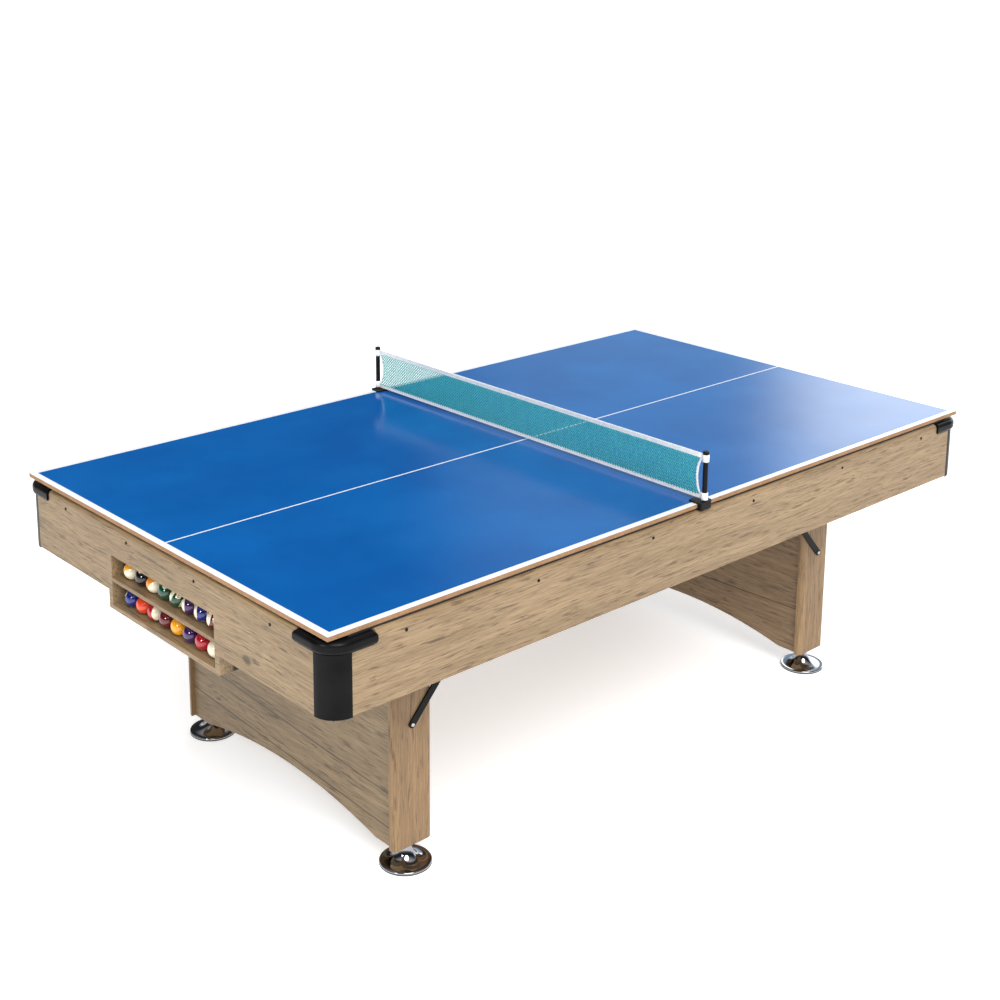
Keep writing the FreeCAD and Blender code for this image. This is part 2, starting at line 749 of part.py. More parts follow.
def build_ball_return():
    save("ball_box", ball_box())
    save("ball_shelf", ball_shelf())
    save("balls_upper", ball_row(z_up_shelf))
    save("balls_lower", ball_row(z_low_shelf))


def build_legs():
    for end, s in ENDS.items():
        save("leg_panel_%s_outer" % end, place(leg_panel(leg_x + panel_out - panel_thk), s, 1))
        save("leg_panel_%s_inner" % end, place(leg_panel(leg_x - panel_out), s, 1))
        for side, t in SIDES.items():
            save("leg_post_%s_%s" % (end, side), place(leg_post(), s, t))
            save("foot_dish_%s_%s" % (end, side), place(foot_dish(), s, t))
            save("foot_stud_%s_%s" % (end, side), place(foot_stud(), s, t))
    tops = [leg_top(), place(leg_top(), -1, 1)]
    save("leg_blocks", foot_blocks() + tops)
    save("braces", four(brace()))
    high = four(brace_bolt(beam_x, z_bed - brace_top))
    save("brace_bolts", four(brace_bolt(brace_low_x, z_brace)) + high)


def build_tennis_top():
    for end, s in ENDS.items():
        save("tennis_board_" + end, place(half_board(), s, 1))
    pads = board_pads()
    save("board_pads", pads + [place(pad, -1, 1) for pad in pads])
    for side, s in SIDES.items():
        save("net_clamp_" + side, place(net_clamp(), 1, s))
        save("net_post_" + side, place(net_post(), 1, s))
    save("net_tapes", [net_tape(net_top, top_tape), net_tape(net_low, low_tape)])
    save("net_mesh", net_mesh())


os.makedirs("parts", exist_ok=True)
build_cabinet()
build_ball_return()
build_legs()
build_tennis_top()
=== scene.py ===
"""Looks of the games table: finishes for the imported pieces, and detailed pool balls, net,
cushions and cloth in place of the plain ones. Metres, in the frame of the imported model."""
import bpy
import bmesh
import math
import random
from mathutils import Matrix, Vector


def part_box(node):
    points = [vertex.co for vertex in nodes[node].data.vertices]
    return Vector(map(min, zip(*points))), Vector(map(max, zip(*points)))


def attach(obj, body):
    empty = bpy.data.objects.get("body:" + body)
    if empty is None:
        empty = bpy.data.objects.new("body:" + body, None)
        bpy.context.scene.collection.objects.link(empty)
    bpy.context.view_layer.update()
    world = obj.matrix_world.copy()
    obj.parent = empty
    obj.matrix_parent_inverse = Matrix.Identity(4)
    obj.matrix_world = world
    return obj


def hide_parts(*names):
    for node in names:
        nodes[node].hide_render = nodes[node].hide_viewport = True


# --- camera and light ---------------------------------------------------------------
CAMERA_AT = (-3.0505, -3.2039, 2.2956)
CAMERA_HEADING = 42.51     # degrees from +Y towards +X
CAMERA_TILT = -12.93
CAMERA_ROLL = 0.44
CAMERA_LENS = 56.8
CAMERA_SHIFT = (0.0035, -0.2125)
CAMERA_REACH = 2000.0
FLOOR_SIZE = 600.0
FLOOR_GLOW = 0.55
FLOOR_DROP = 0.0005        # feet to the floor's face
SUN_FROM = (-0.35, -0.80, 0.90)
SUN_STRENGTH = 3.0
SUN_SOFTNESS = 35.0        # degrees
WINDOW_AZIMUTH = 15.0      # degrees from +X
WINDOW_HIGH = 15.0
WINDOW_GLOW = (2.7, 2.7, 2.6)
CURTAIN_GLOW = (0.36, 0.52, 0.66)    # round the window
LAMP_AT = (-3.6, -0.9, 1.7)          # beyond the ball return
LAMP_AIM = (-1.15, 0.0, 0.62)
LAMP_SIZE = 0.5
LAMP_WATTS = 25.0

# --- tennis boards ------------------------------------------------------------------
LINE_EDGE = 0.017          # white border line
LINE_MIDDLE = 0.0045       # centre line

# --- balls --------------------------------------------------------------------------
BALLS_IN_ROW = 8
BALL_R = 0.0238
STRIPE_HALF = 0.0121
DISC_R = 0.0065
DIGIT_HIGH = 0.0079
DIGIT_PROUD = 0.00012

# --- cushions and bed cloth ---------------------------------------------------------
CUSHION_DEEP = 0.045       # rail to nose
CUSHION_FLAT = 0.012       # width of the underside that rests on the rail's foot
CUSHION_JAW = 0.040        # how far a nose end stands back from its rail end
NOSE_DROP = 0.0065         # rail top to the nose's upper edge
NOSE_LIFT = 0.021          # underside to the nose's lower edge
NOSE_STEPS = 6
SIDE_JAW_BACK = 0.057      # ends of a long cushion beside the side pocket
SIDE_JAW_NOSE = 0.066
CLOTH_RIM = 0.0008         # rounding of the cloth at the pockets

# --- threads and weaves, from one turn or yarn to the next ----------------------------
CLOTH_WEAVE = 0.0011
TAPE_WEAVE = 0.0009
CORD_TWIST = 0.0022
STUD_THREAD = 0.00175

# --- net ----------------------------------------------------------------------------
STRAND_D = 0.0022
STRAND_PITCH = 0.0066
KNOT_SWELL = 0.45
NET_END = 0.678            # side tape's ends from the middle of the net
NET_BOW = 0.662            # side tape at half height
SIDE_TAPE_HALF = 0.004
SIDE_TAPE_THICK = 0.0024
POST_R = 0.007
LOOP_R = 0.0093
LOOP_HIGH = 0.020
LOOP_SIDES = 28
LOOP_PLAY = 0.0003         # post to the inside of a loop
LOOP_PROFILE = (           # share of a loop's height, and how much wider it is there
    (0.0, -0.0010), (0.03, 0.0), (0.35, -0.0003), (0.7, 0.0002), (0.97, 0.0), (1.0, -0.0010),
)
TOP_TAPE_THICK = 0.0032
LOW_TAPE_THICK = 0.0030
TAPE_LAP = 0.0005          # how far a tape reaches over the mesh
TAPE_STEPS = 60
TAPE_RIPPLE = 0.00025

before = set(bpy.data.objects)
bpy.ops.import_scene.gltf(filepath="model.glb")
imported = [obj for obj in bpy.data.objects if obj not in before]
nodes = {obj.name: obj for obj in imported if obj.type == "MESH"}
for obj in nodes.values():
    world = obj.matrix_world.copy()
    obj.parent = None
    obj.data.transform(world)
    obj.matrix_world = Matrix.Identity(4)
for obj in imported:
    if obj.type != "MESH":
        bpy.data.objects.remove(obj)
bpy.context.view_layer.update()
ENDS = {"foot": -1, "head": 1}
SIDES = {"near": -1, "far": 1}


# --- material tools -----------------------------------------------------------------
class Finish:
    """A material's node tree, with short calls for the nodes used here."""

    def __init__(self, name, **constants):
        self.material = bpy.data.materials.new(name)
        self.material.use_nodes = True
        self.tree = self.material.node_tree
        self.shader = self.tree.nodes["Principled BSDF"]
        for socket, value in constants.items():
            self.shader.inputs[socket.replace("_", " ")].default_value = value
        coords = self.tree.nodes.new("ShaderNodeTexCoord")
        self.place = coords.outputs["Object"]
        split = self.tree.nodes.new("ShaderNodeSeparateXYZ")
        self.tree.links.new(self.place, split.inputs[0])
        self.x, self.y, self.z = split.outputs

    def feed(self, socket, value):
        if isinstance(value, bpy.types.NodeSocket):
            self.tree.links.new(value, socket)
        else:
            socket.default_value = value

    def calc(self, operation, *values):
        node = self.tree.nodes.new("ShaderNodeMath")
        node.operation = operation
        for socket, value in zip(node.inputs, values):
            self.feed(socket, value)
        return node.outputs[0]

    def vector(self, x, y, z):
        node = self.tree.nodes.new("ShaderNodeCombineXYZ")
        for socket, value in zip(node.inputs, (x, y, z)):
            self.feed(socket, value)
        return node.outputs[0]

    def noise(self, vector, scale, detail=3.0, rough=0.55):
        node = self.tree.nodes.new("ShaderNodeTexNoise")
        self.feed(node.inputs["Vector"], vector)
        node.inputs["Scale"].default_value = scale
        node.inputs["Detail"].default_value = detail
        node.inputs["Roughness"].default_value = rough
        return node.outputs["Fac"]

    def between(self, value, low, high, out_low=0.0, out_high=1.0):
        """value rescaled from low..high to out_low..out_high, and clamped."""
        node = self.tree.nodes.new("ShaderNodeMapRange")
        for socket, number in zip(node.inputs, (value, low, high, out_low, out_high)):
            self.feed(socket, number)
        return node.outputs[0]

    def mix(self, share, a, b):
        node = self.tree.nodes.new("ShaderNodeMix")
        node.data_type = "RGBA"
        self.feed(node.inputs["Factor"], share)
        self.feed(node.inputs[6], a if isinstance(a, bpy.types.NodeSocket) else (*a, 1.0))
        self.feed(node.inputs[7], b if isinstance(b, bpy.types.NodeSocket) else (*b, 1.0))
        return node.outputs[2]

    def normal_part(self, axis):
        """One component of the surface's own direction."""
        split = self.tree.nodes.new("ShaderNodeSeparateXYZ")
        coords = self.tree.nodes.new("ShaderNodeTexCoord")
        self.tree.links.new(coords.outputs["Normal"], split.inputs[0])
        return split.outputs["XYZ".index(axis)]

    def color(self, value):
        self.feed(self.shader.inputs["Base Color"], value)

    def rough(self, value):
        self.feed(self.shader.inputs["Roughness"], value)

    def bump(self, height, strength, distance):
        node = self.tree.nodes.new("ShaderNodeBump")
        node.inputs["Strength"].default_value = strength
        node.inputs["Distance"].default_value = distance
        self.feed(node.inputs["Height"], height)
        self.tree.links.new(node.outputs[0], self.shader.inputs["Normal"])


def srgb(r, g, b):
    """Linear colour from 0-255 display values."""
    def linear(v):
        v = v / 255.0
        return v / 12.92 if v <= 0.04045 else ((v + 0.055) / 1.055) ** 2.4
    return (linear(r), linear(g), linear(b))


def dress(finish, *names):
    """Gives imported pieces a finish."""
    for name in names:
        mesh = nodes[name].data
        mesh.materials.clear()
        mesh.materials.append(finish.material)


# --- wood ---------------------------------------------------------------------------
def grain_axes(f, along):
    """Places along the grain and two ways across it."""
    if along == "x":
        return f.x, f.y, f.z
    if along == "y":
        return f.y, f.x, f.z
    return f.z, f.x, f.y


def oak(name, along, pale, dark, planks=(), black_behind=None, figure=0.5):
    """Oak-grain laminate: wavy streaks, fibres and short dark strokes along one axis."""
    f = Finish(name, IOR=1.45)
    u, v, w = grain_axes(f, along)
    sway = f.noise(f.vector(f.calc("MULTIPLY", u, 2.2), f.calc("MULTIPLY", v, 9.0),
                            f.calc("MULTIPLY", w, 9.0)), 1.0, 2.0)
    sway = f.calc("MULTIPLY", f.calc("SUBTRACT", sway, 0.5), 0.030)
    v = f.calc("ADD", v, sway)
    w = f.calc("ADD", w, sway)

    def streaks(length, width, detail, rough=0.6):
        cell = f.vector(f.calc("MULTIPLY", u, length), f.calc("MULTIPLY", v, width),
                        f.calc("MULTIPLY", w, width))
        return f.noise(cell, 1.0, detail, rough)
    broad = f.between(streaks(1.5, 14.0, 3.0), 0.34, 0.66)
    band = f.between(streaks(3.4, 60.0, 5.0, 0.7), 0.38, 0.62)
    fibre = streaks(14.0, 420.0, 3.0)
    stroke = f.between(streaks(13.0, 150.0, 3.0), 0.56, 0.68)
    deep = f.between(streaks(6.0, 110.0, 4.0, 0.7), 0.60, 0.72)
    knot = f.between(f.noise(f.vector(f.calc("MULTIPLY", u, 9.0), f.calc("MULTIPLY", v, 16.0),
                                      f.calc("MULTIPLY", w, 16.0)), 1.0, 0.0), 0.83, 0.87)
    middle = tuple(0.55 * a + 0.45 * b for a, b in zip(pale, dark))
    shade = f.mix(f.calc("MULTIPLY", broad, 0.55), pale, middle)
    shade = f.mix(f.calc("MULTIPLY", band, figure), shade, middle)
    shade = f.mix(f.calc("MULTIPLY", stroke, 0.72), shade, dark)
    shade = f.mix(f.calc("MULTIPLY", deep, 0.6), shade, tuple(0.75 * c for c in dark))
    shade = f.mix(f.between(fibre, 0.40, 0.68, 0.0, 0.42), shade, dark)
    shade = f.mix(f.calc("MULTIPLY", knot, 0.7), shade, tuple(0.4 * c for c in dark))
    for height, slope in planks:
        line = f.calc("ADD", f.calc("MULTIPLY", f.y, slope), height)
        seam = f.between(f.calc("ABSOLUTE", f.calc("SUBTRACT", f.z, line)), 0.0008, 0.0024, 0.8, 0.0)
        shade = f.mix(seam, shade, tuple(0.3 * c for c in dark))
    if black_behind is not None:
        inside = f.between(f.x, black_behind - 0.004, black_behind + 0.004)
        shade = f.mix(inside, shade, (0.012, 0.010, 0.009))
    f.color(shade)
    f.rough(f.between(fibre, 0.3, 0.7, 0.42, 0.56))
    relief = f.calc("SUBTRACT", fibre, f.calc("MULTIPLY", stroke, 0.5))
    f.bump(relief, 0.25, 0.0006)
    return f


def finish_oak():
    side = oak("oak_side", "x", srgb(172, 146, 111), srgb(74, 54, 34), figure=0.75)
    end = oak("oak_end", "y", srgb(164, 139, 104), srgb(68, 51, 32), figure=0.75)
    post = oak("oak_post", "z", srgb(162, 131, 94), srgb(76, 54, 32), figure=0.75)
    foot_panel = oak("oak_panel_foot", "y", srgb(156, 133, 100), srgb(62, 48, 30),
                     planks=((0.224, 0.047), (0.131, 0.047)), figure=0.8)
    head_panel = oak("oak_panel_head", "y", srgb(154, 128, 96), srgb(60, 44, 28),
                     planks=((0.195, -0.026),), figure=0.8)
    front = oak("oak_box", "y", srgb(166, 141, 106), srgb(70, 53, 34), black_behind=-1.186, figure=0.75)
    shelf = oak("oak_shelf", "y", srgb(156, 130, 97), srgb(64, 47, 30), black_behind=-1.160, figure=0.75)
    dress(side, "apron_near", "apron_far", "rail_near", "rail_far")
    dress(end, "apron_foot", "apron_head", "rail_foot", "rail_head")
    dress(post, *["leg_post_%s_%s" % (e, s) for e in ENDS for s in SIDES])
    dress(foot_panel, "leg_panel_foot_outer", "leg_panel_foot_inner")
    dress(head_panel, "leg_panel_head_outer", "leg_panel_head_inner")
    dress(front, "ball_box")
    dress(shelf, "ball_shelf")


def finish_raw_wood():
    """Pine with soft growth lines and a few knots' darker spots."""
    f = Finish("raw_pine", IOR=1.45)
    cell = f.vector(f.calc("MULTIPLY", f.x, 3.0), f.calc("MULTIPLY", f.y, 3.0),
                    f.calc("MULTIPLY", f.z, 60.0))
    line = f.between(f.noise(cell, 1.0, 4.0), 0.35, 0.65)
    spot = f.between(f.noise(f.place, 7.0, 1.0), 0.66, 0.74)
    shade = f.mix(line, srgb(226, 196, 148), srgb(190, 150, 100))
    f.color(f.mix(f.calc("MULTIPLY", spot, 0.5), shade, srgb(120, 80, 45)))
    f.rough(f.between(line, 0.0, 1.0, 0.62, 0.78))
    f.bump(line, 0.2, 0.0006)
    dress(f, "frame_cleats", "bed_beams", "leg_blocks")


def fibreboard(f):
    """Colour and relief of a fibreboard's surface."""
    fleck = f.noise(f.place, 900.0, 2.0)
    cloud = f.noise(f.place, 30.0, 3.0)
    shade = f.mix(f.between(fleck, 0.35, 0.65), srgb(180, 142, 106), srgb(136, 102, 74))
    return f.mix(f.between(cloud, 0.4, 0.6, 0.0, 0.35), shade, srgb(130, 94, 66)), fleck


def finish_bed_board():
    f = Finish("fibreboard", IOR=1.4)
    shade, fleck = fibreboard(f)
    f.color(shade)
    f.rough(f.between(fleck, 0.3, 0.7, 0.72, 0.86))
    f.bump(fleck, 0.3, 0.0004)
    dress(f, "bed_board")


# --- tennis boards ------------------------------------------------------------------
def finish_tennis_boards():
    """Blue paint with white lines on top, bare fibreboard on the edges and below."""
    low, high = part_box("tennis_board_head")
    f = Finish("tennis_blue", IOR=1.38)
    wood, fleck = fibreboard(f)
    reach_x = f.calc("ABSOLUTE", f.x)
    reach_y = f.calc("ABSOLUTE", f.y)
    crisp = 0.0006
    border = f.calc("MAXIMUM",
                    f.between(reach_x, high.x - LINE_EDGE - crisp, high.x - LINE_EDGE),
                    f.between(reach_y, high.y - LINE_EDGE - crisp, high.y - LINE_EDGE))
    centre = f.between(reach_y, LINE_MIDDLE / 2, LINE_MIDDLE / 2 + crisp, 1.0, 0.0)
    line = f.calc("MAXIMUM", border, centre)
    seam = f.between(reach_x, 0.0009, 0.0022, 1.0, 0.0)
    cloud = f.noise(f.place, 3.0, 3.0)
    blue = f.mix(f.between(cloud, 0.35, 0.65), srgb(0, 83, 156), srgb(4, 94, 168))
    paint = f.mix(line, blue, srgb(236, 238, 240))
    paint = f.mix(f.calc("MULTIPLY", seam, 0.5), paint, srgb(30, 60, 100))
    up = f.between(f.normal_part("Z"), 0.4, 0.6)
    chip = f.between(f.z, high.z - 0.0012, high.z - 0.0006)
    f.color(f.mix(f.calc("MAXIMUM", up, chip), wood, paint))
    orange_peel = f.noise(f.place, 260.0, 2.0)
    smear = f.noise(f.place, 5.0, 4.0)
    painted = f.between(smear, 0.3, 0.7, 0.15, 0.20)
    f.rough(f.calc("ADD", f.calc("MULTIPLY", up, painted),
                   f.calc("MULTIPLY", f.calc("SUBTRACT", 1.0, up), 0.8)))
    f.bump(f.calc("ADD", orange_peel, f.calc("MULTIPLY", line, 0.25)), 0.06, 0.0004)
    dress(f, "tennis_board_foot", "tennis_board_head")


# --- plastic, rubber and metal ------------------------------------------------------
def grained(name, base, rough_low, rough_high, scale, strength, distance, **constants):
    """Fine even texture in one colour with a slight cloudiness."""
    f = Finish(name, **constants)
    grain = f.noise(f.place, scale, 2.0)
    cloud = f.noise(f.place, 14.0, 3.0)
    lighter = tuple(min(1.0, 1.5 * c + 0.002) for c in base)
    f.color(f.mix(f.between(cloud, 0.35, 0.65), base, lighter))
    f.rough(f.between(cloud, 0.3, 0.7, rough_low, rough_high))
    f.bump(grain, strength, distance)
    return f


def finish_plastics():
    cap = grained("cap_plastic", (0.0025, 0.0025, 0.003), 0.26, 0.34, 1500.0, 0.12, 0.0003,
                  IOR=1.5, Specular_IOR_Level=0.1)
    liner = grained("liner_plastic", (0.012, 0.012, 0.013), 0.5, 0.62, 1200.0, 0.25, 0.0003)
    tray = grained("tray_plastic", (0.030, 0.030, 0.033), 0.55, 0.7, 700.0, 0.35, 0.0005)
    rubber = grained("pad_rubber", (0.014, 0.014, 0.014), 0.75, 0.9, 1100.0, 0.3, 0.0003)
    dress(cap, *["corner_cap_%s_%s" % (e, s) for e in ENDS for s in SIDES])
    dress(liner, *["pocket_liner_%s_%s" % (e, s) for e in ENDS for s in SIDES])
    dress(liner, *["pocket_liner_side_" + s for s in SIDES])
    dress(tray, *["ball_run_" + s for s in SIDES])
    dress(rubber, "board_pads")


def finish_metals():
    coat = grained("powder_coat", (0.006, 0.006, 0.006), 0.34, 0.44, 2200.0, 0.3, 0.0003,
                   IOR=1.5, Specular_IOR_Level=0.1)
    dress(coat, "braces", "apron_screws", *["net_clamp_" + s for s in SIDES],
          *["net_post_" + s for s in SIDES])
    bolt = Finish("zinc_bolt", Metallic=1.0)
    fine = bolt.noise(bolt.place, 1800.0, 3.0)
    bolt.color(bolt.mix(fine, (0.62, 0.62, 0.60), (0.42, 0.42, 0.43)))
    bolt.rough(bolt.between(fine, 0.3, 0.7, 0.25, 0.4))
    bolt.bump(fine, 0.1, 0.0002)
    dress(bolt, "brace_bolts")


def finish_chrome():
    """Polished feet, black and dull in a thin ring at the floor."""
    f = Finish("chrome_foot", IOR=1.5)
    smudge = f.noise(f.place, 60.0, 4.0)
    base = f.between(f.z, 0.0030, 0.0034, 1.0, 0.0)
    f.color(f.mix(base, (0.34, 0.34, 0.36), (0.01, 0.01, 0.01)))
    f.feed(f.shader.inputs["Metallic"], f.calc("SUBTRACT", 1.0, base))
    polish = f.between(smudge, 0.35, 0.7, 0.04, 0.12)
    f.rough(f.calc("MAXIMUM", polish, f.calc("MULTIPLY", base, 0.7)))
    f.bump(f.noise(f.place, 200.0, 1.0), 0.02, 0.0002)
    dress(f, *["foot_dish_%s_%s" % (e, s) for e in ENDS for s in SIDES])
    thread = Finish("zinc_thread", Metallic=1.0)
    ridge = thread.calc("SINE", thread.calc("MULTIPLY", thread.z, 2 * math.pi / STUD_THREAD))
    dust = thread.noise(thread.place, 300.0, 2.0)
    thread.color(thread.mix(dust, (0.55, 0.55, 0.55), (0.38, 0.37, 0.35)))
    thread.rough(thread.between(dust, 0.3, 0.7, 0.25, 0.4))
    thread.bump(ridge, 0.6, 0.0004)
    dress(thread, *["foot_stud_%s_%s" % (e, s) for e in ENDS for s in SIDES])


# --- cloth --------------------------------------------------------------------------
def billiard_cloth():
    """Napped woven wool, green."""
    f = Finish("billiard_cloth", IOR=1.4)
    f.shader.inputs["Sheen Weight"].default_value = 0.35
    f.shader.inputs["Sheen Roughness"].default_value = 0.5
    warp = f.calc("SINE", f.calc("MULTIPLY", f.x, 2 * math.pi / CLOTH_WEAVE))
    weft = f.calc("SINE", f.calc("MULTIPLY", f.y, 2 * math.pi / CLOTH_WEAVE))
    weave = f.calc("MULTIPLY", warp, weft)
    nap = f.noise(f.vector(f.calc("MULTIPLY", f.x, 500.0), f.calc("MULTIPLY", f.y, 1500.0),
                           f.calc("MULTIPLY", f.z, 1500.0)), 1.0, 3.0)
    cloud = f.noise(f.place, 9.0, 4.0)
    shade = f.mix(f.between(nap, 0.3, 0.7), srgb(10, 96, 62), srgb(24, 124, 84))
    f.color(f.mix(f.between(cloud, 0.4, 0.65, 0.0, 0.3), shade, srgb(40, 132, 96)))
    f.rough(f.between(nap, 0.3, 0.7, 0.82, 0.95))
    f.bump(f.calc("ADD", f.calc("MULTIPLY", weave, 0.3), nap), 0.35, 0.0005)
    return f


# --- mesh tools ---------------------------------------------------------------------
def new_piece(name, mesh_maker, finish, body, smooth=True):
    """A piece from mesh_maker(bm), with its finish, body and material slot."""
    mesh = bpy.data.meshes.new(name)
    bm = bmesh.new()
    mesh_maker(bm)
    bmesh.ops.recalc_face_normals(bm, faces=bm.faces)
    bm.to_mesh(mesh)
    bm.free()
    for polygon in mesh.polygons:
        polygon.use_smooth = smooth
    mesh.materials.append(finish.material)
    piece = bpy.data.objects.new(name, mesh)
    bpy.context.scene.collection.objects.link(piece)
    if body:
        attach(piece, body)
    return piece


def tube(bm, points, radii, across, sides):
    """Closed round tube along points that lie in the plane square to across."""
    rings = []
    for i, point in enumerate(points):
        ahead = points[min(i + 1, len(points) - 1)] - points[max(i - 1, 0)]
        up = ahead.normalized().cross(across)
        ring = []
        for k in range(sides):
            angle = 2 * math.pi * k / sides
            offset = math.cos(angle) * across + math.sin(angle) * up
            ring.append(bm.verts.new(point + radii[i] * offset))
        rings.append(ring)
    loft(bm, rings)


def loft(bm, rings, closed_ends=True):
    """Skin over closed rings of vertices, with both ends filled."""
    for a, b in zip(rings, rings[1:]):
        for k in range(len(a)):
            m = (k + 1) % len(a)
            bm.faces.new((a[k], a[m], b[m], b[k]))
    if closed_ends:
        bm.faces.new(list(reversed(rings[0])))
        bm.faces.new(rings[-1])


# --- cushions and bed cloth ---------------------------------------------------------
def cushion_section(depth, top, bottom):
    """Depth from the rail and height round a rubber cushion under its cloth."""
    nose_top = top - NOSE_DROP
    nose_low = bottom + NOSE_LIFT
    half = (nose_top - nose_low) / 2
    points = [(0.0, bottom), (0.0, (bottom + top) / 2), (0.0, top)]
    for s in (0.25, 0.5, 0.75):
        crown = 0.0008 * math.sin(math.pi * s)
        points.append((depth * s, top - NOSE_DROP * s + crown))
    for k in range(NOSE_STEPS + 1):
        angle = math.pi * (0.5 - k / NOSE_STEPS)
        points.append((depth - half + half * math.cos(angle), nose_low + half + half * math.sin(angle)))
    for s in (0.25, 0.5, 0.75, 1.0):
        sag = 0.0015 * math.sin(math.pi * s)
        run = depth - half - CUSHION_FLAT
        points.append((depth - half - s * run - sag, nose_low - s * (nose_low - bottom)))
    return points


def cushion(bm, at, back, nose, top, bottom):
    """One cushion from back[0] to back[1] at the rail and nose[0] to nose[1] at its nose.
    at(along, depth, z) puts a point in space."""
    depth = CUSHION_DEEP
    section = cushion_section(depth, top, bottom)
    middle_d = sum(d for d, z in section) / len(section)
    middle_z = sum(z for d, z in section) / len(section)
    steps = 24
    rings = []
    for i in range(-2, steps + 3):
        share = min(max(i, 0), steps) / steps
        rounding = {-2: 0.90, -1: 0.975, steps + 1: 0.975, steps + 2: 0.90}.get(i, 1.0)
        bulge = {-2: -0.0006, -1: 0.0, 0: 0.0018, steps: -0.0018, steps + 2: 0.0006}.get(i, 0.0)
        ring = []
        for d, z in section:
            low_end = back[0] + (nose[0] - back[0]) * d / depth
            high_end = back[1] + (nose[1] - back[1]) * d / depth
            along = low_end + share * (high_end - low_end) + bulge
            dd = middle_d + (d - middle_d) * rounding
            zz = middle_z + (z - middle_z) * rounding
            ring.append(bm.verts.new(at(along, dd, zz)))
        rings.append(ring)
    loft(bm, rings)


def make_cushions(cloth):
    """The rubber cushions under tight cloth, their ends cut at the pockets' jaws."""
    low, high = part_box("cushions_long")
    rail_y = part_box("rail_far")[0].y
    top, bottom = high.z, low.z
    back = (SIDE_JAW_BACK, high.x)
    nose = (SIDE_JAW_NOSE, high.x - CUSHION_JAW)
    for end, sx in ENDS.items():
        for side, sy in SIDES.items():
            def at(along, d, z, sx=sx, sy=sy):
                return Vector((sx * along, sy * (rail_y - d), z))
            piece = new_piece("cushion_%s_%s" % (end, side), lambda bm, at=at: cushion(
                bm, at, back, nose, top, bottom), cloth, "cabinet")
            if (end, side) == ("foot", "near"):
                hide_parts("cushions_long")
    for end, sx in ENDS.items():
        low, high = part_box("cushion_" + end)
        rail_x = max(abs(low.x), abs(high.x))
        end_back = (-high.y, high.y)
        end_nose = (-high.y + CUSHION_JAW, high.y - CUSHION_JAW)

        def at_end(along, d, z, sx=sx, rail_x=rail_x):
            return Vector((sx * (rail_x - d), along, z))
        piece = new_piece("cushion_across_" + end, lambda bm, at=at_end: cushion(
            bm, at, end_back, end_nose, top, bottom), cloth, "cabinet")
        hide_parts("cushion_" + end)


def make_bed_cloth(cloth):
    """The cloth on the bed, rolled down a little at the pockets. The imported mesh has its
    corners split, so they are joined before the rim is rounded."""
    def copy(bm):
        bm.from_mesh(nodes["bed_cloth"].data)
        bmesh.ops.remove_doubles(bm, verts=bm.verts, dist=1e-5)
        bmesh.ops.dissolve_limit(bm, angle_limit=math.radians(1), verts=bm.verts, edges=bm.edges)
        top = max(v.co.z for v in bm.verts)
        rim = [e for e in bm.edges if all(v.co.z > top - 0.0003 for v in e.verts)
               and e.calc_face_angle(0) > 1.0]
        bmesh.ops.bevel(bm, geom=rim, offset=CLOTH_RIM, segments=3, profile=0.5, affect="EDGES")
    piece = new_piece("bed_cloth_sheet", copy, cloth, "cabinet", smooth=False)
    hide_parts("bed_cloth")


# --- balls --------------------------------------------------------------------------
BALL_COLORS = {
    1: srgb(250, 168, 20), 2: srgb(18, 34, 120), 3: srgb(176, 10, 34), 4: srgb(58, 20, 84),
    5: srgb(232, 66, 24), 6: srgb(6, 70, 44), 7: srgb(104, 12, 26), 8: srgb(12, 12, 13),
    13: srgb(240, 138, 28),                    # the other stripes are as the solid 8 below
}
CREAM = srgb(242, 232, 204)
UPPER_ROW = (9, 8, 13, 6, 14, 12, 10, 15)      # from the far side to the near side
LOWER_ROW = (2, 5, 11, 7, 1, 4, 3, 0)          # 0 is the plain white ball
TURNS = {                                      # heading, tilt and roll in degrees
    2: (150, 30, 40), 8: (200, 60, 10), 13: (215, 64, 30), 6: (222, 48, 90), 14: (236, 30, 55),
    10: (225, -60, 90), 12: (225, 80, 90), 15: (232, 14, 255), 4: (120, 20, 15), 5: (180, -50, 0),
    11: (225, 100, 40), 7: (190, 80, 10), 1: (205, -70, 30), 9: (150, 20, 60), 3: (170, -60, 0),
    0: (0, 0, 0),
}


def ball_finish(number):
    """Polished resin: one colour, or a band of it on cream, with the white number spots."""
    f = Finish("ball_%02d" % number, IOR=1.54)
    f.shader.inputs["Coat Weight"].default_value = 0.6
    f.shader.inputs["Coat Roughness"].default_value = 0.02
    cloud = f.noise(f.place, 70.0, 3.0)
    ivory = f.mix(f.between(cloud, 0.35, 0.65), CREAM, tuple(0.93 * c for c in CREAM))
    if number == 0:
        f.color(ivory)
    else:
        base = BALL_COLORS[number if number in BALL_COLORS else number - 8]
        deep = f.mix(f.between(cloud, 0.35, 0.65), base, tuple(0.85 * c for c in base))
        shade = deep
        if number > 8:
            band = f.between(f.calc("ABSOLUTE", f.z), STRIPE_HALF, STRIPE_HALF + 0.0003, 1.0, 0.0)
            shade = f.mix(band, ivory, deep)
        squares = f.calc("ADD", f.calc("MULTIPLY", f.y, f.y), f.calc("MULTIPLY", f.z, f.z))
        from_axis = f.calc("SQRT", squares)
        spot = f.between(from_axis, DISC_R, DISC_R + 0.0003, 1.0, 0.0)
        f.color(f.mix(spot, shade, ivory))
    f.rough(f.between(cloud, 0.3, 0.7, 0.05, 0.10))
    f.bump(f.noise(f.place, 260.0, 1.0), 0.01, 0.0001)
    return f


